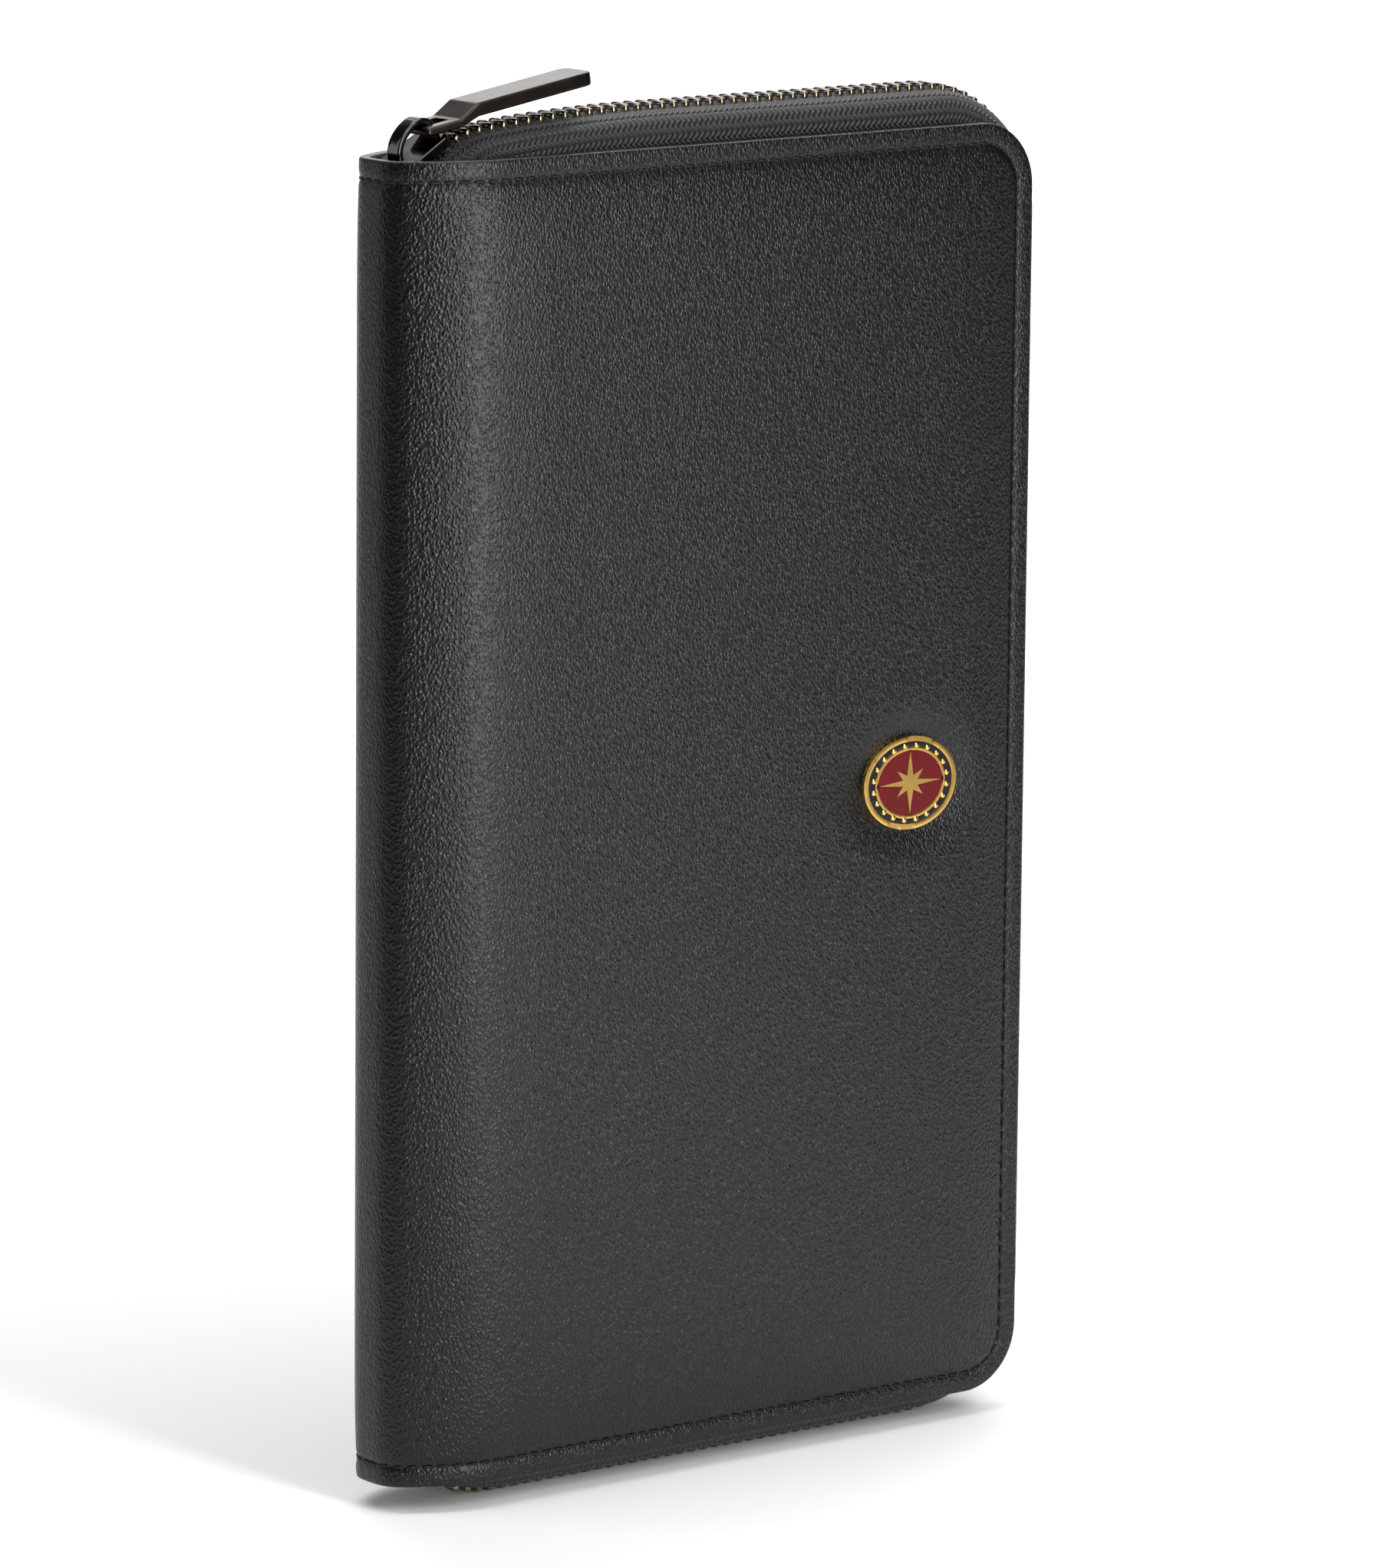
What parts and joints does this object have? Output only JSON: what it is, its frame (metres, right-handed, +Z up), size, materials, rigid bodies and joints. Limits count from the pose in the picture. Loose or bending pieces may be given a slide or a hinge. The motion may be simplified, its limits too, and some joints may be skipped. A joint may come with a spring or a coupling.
{
  "type": "travel document organizer",
  "caption": "Tall zip-around travel wallet in padded black leather: folding spine, metal zip slider with long puller, oval enamel badge, inner card, passport and ticket pockets.",
  "frame": {"origin": "under the middle of the closed organizer, level with its lowest zip teeth", "axes": "+X from the spine to the opening edge, +Y from the front cover to the back cover, +Z up along the tall side"},
  "size_m": [0.147, 0.0274, 0.2585],
  "materials": {
    "cover_leather": "black calf leather with a fine pebble grain, satin",
    "foam_pad": "grey padding felt",
    "stiffener_board": "pressed fibre stiffener board, dyed black",
    "lining_fabric": "black woven lining",
    "pocket_leather": "black leather pocket panels, satin",
    "pen_loop_elastic": "black elastic webbing",
    "zip_tape": "black herringbone zip tape",
    "zip_teeth": "dark nickel-plated brass, polished tips",
    "slider_metal": "polished gunmetal plating on die-cast zinc",
    "puller_metal": "polished gunmetal plating on die-cast zinc",
    "badge_gold": "polished gold-plated brass",
    "enamel_dark": "black cloisonne enamel",
    "enamel_red": "deep red translucent enamel",
    "washer_steel": "plain steel"
  },
  "bodies": {
    "back_cover": {"back_cover_leather": "cover_leather", "back_foam_pad": "foam_pad", "back_stiffener_board": "stiffener_board", "back_lining": "lining_fabric", "ticket_pocket": "pocket_leather", "passport_pocket": "pocket_leather", "zip_tape_back": "zip_tape", "zip_teeth_back": "zip_teeth"},
    "spine": {"spine_leather": "cover_leather", "spine_board": "stiffener_board", "spine_lining": "lining_fabric", "pen_loop": "pen_loop_elastic"},
    "front_cover": {"front_cover_leather": "cover_leather", "front_foam_pad": "foam_pad", "front_stiffener_board": "stiffener_board", "front_lining": "lining_fabric", "slip_pocket": "pocket_leather", "card_slot_1": "pocket_leather", "card_slot_2": "pocket_leather", "card_slot_3": "pocket_leather", "card_slot_4": "pocket_leather", "zip_tape_front": "zip_tape", "zip_teeth_front": "zip_teeth", "badge_plate": "badge_gold", "badge_enamel_ring": "enamel_dark", "badge_enamel_field": "enamel_red", "badge_washers": "washer_steel"},
    "slider": {"slider_body": "slider_metal", "slider_bridge": "slider_metal"},
    "puller": {"zip_puller": "puller_metal"}
  },
  "joints": [
    {"name": "spine_fold_back", "type": "hinge", "parent": "back_cover", "child": "spine", "pos_m": [-0.07178, 0.01198, 0.125], "axis": [0, 0, -1], "range_deg": [0, 90]},
    {"name": "spine_fold_front", "type": "hinge", "parent": "spine", "child": "front_cover", "pos_m": [-0.07178, -0.01058, 0.125], "axis": [0, 0, -1], "range_deg": [0, 90]},
    {"name": "slider_travel", "type": "slide", "parent": "back_cover", "child": "slider", "axis": [0.9971, 0, 0.0767], "range_m": [0, 0.06], "deforming": ["zip_tape_back", "zip_tape_front", "zip_teeth_back", "zip_teeth_front"]},
    {"name": "puller_swing", "type": "hinge", "parent": "slider", "child": "puller", "pos_m": [-0.06549, 0.0007, 0.24962], "axis": [0, -1, 0], "range_deg": [0, 150]}
  ],
  "couplings": [
    {"joint": "spine_fold_front", "follows": "spine_fold_back", "ratio": 1}
  ]
}
